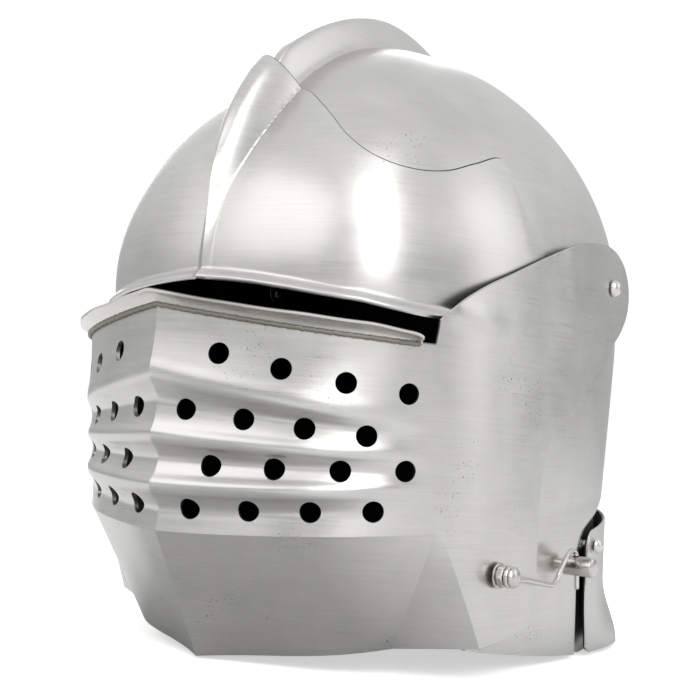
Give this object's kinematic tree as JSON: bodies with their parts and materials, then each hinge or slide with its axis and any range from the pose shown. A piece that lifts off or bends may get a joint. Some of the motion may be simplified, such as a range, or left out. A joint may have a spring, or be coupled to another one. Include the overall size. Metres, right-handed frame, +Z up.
{
  "type": "knight helmet",
  "caption": "Steel close helmet with a ridged skull, a bellows visor that lifts on side pivots, a hook latch and a hinged nape plate.",
  "frame": {"origin": "centre of the helmet's overall box at the height of the surface it stands on", "axes": "+Z up, -Y the way the wearer faces, +X the wearer's left, the latch's side"},
  "size_m": [0.2137, 0.3041, 0.2842],
  "materials": {
    "skull_steel": "satin",
    "brow_steel": "satin",
    "visor_steel": "satin",
    "flange_steel": "brushed",
    "nape_steel": "satin",
    "rivet_steel": "polished",
    "washer_steel": "satin",
    "latch_steel": "polished",
    "wire_steel": "polished",
    "linen": "quilted",
    "leather": "matte"
  },
  "bodies": {
    "skull_body": {"skull": "skull_steel", "brow_plate": "brow_steel", "left_pivot_rivet": "rivet_steel", "right_pivot_rivet": "rivet_steel", "left_pivot_spacer": "washer_steel", "right_pivot_spacer": "washer_steel", "left_pivot_washer": "washer_steel", "right_pivot_washer": "washer_steel", "left_nape_rivet": "rivet_steel", "right_nape_rivet": "rivet_steel", "left_nape_washer": "washer_steel", "right_nape_washer": "washer_steel", "latch_stud": "latch_steel", "liner_cap": "linen", "liner_band": "leather"},
    "visor_body": {"visor": "visor_steel", "sight_flange": "flange_steel", "latch_bolt": "latch_steel", "latch_nut": "latch_steel", "latch_washer": "latch_steel"},
    "hook_body": {"latch_hook": "wire_steel"},
    "nape_body": {"nape_lame": "nape_steel"}
  },
  "joints": [
    {"name": "visor_hinge", "type": "hinge", "parent": "skull_body", "child": "visor_body", "pos_m": [0, 0.036, 0.1637], "axis": [-1, 0, 0], "range_deg": [0, 75], "deforming": ["latch_hook"]},
    {"name": "hook_swing", "type": "hinge", "parent": "visor_body", "child": "hook_body", "pos_m": [0.1035, -0.04809, 0.04033], "axis": [1, 0, 0], "range_deg": [0, 60], "deforming": ["latch_hook"]},
    {"name": "nape_hinge", "type": "hinge", "parent": "skull_body", "child": "nape_body", "pos_m": [0, 0.05113, 0.04869], "axis": [1, 0, 0], "range_deg": [0, 7]}
  ]
}
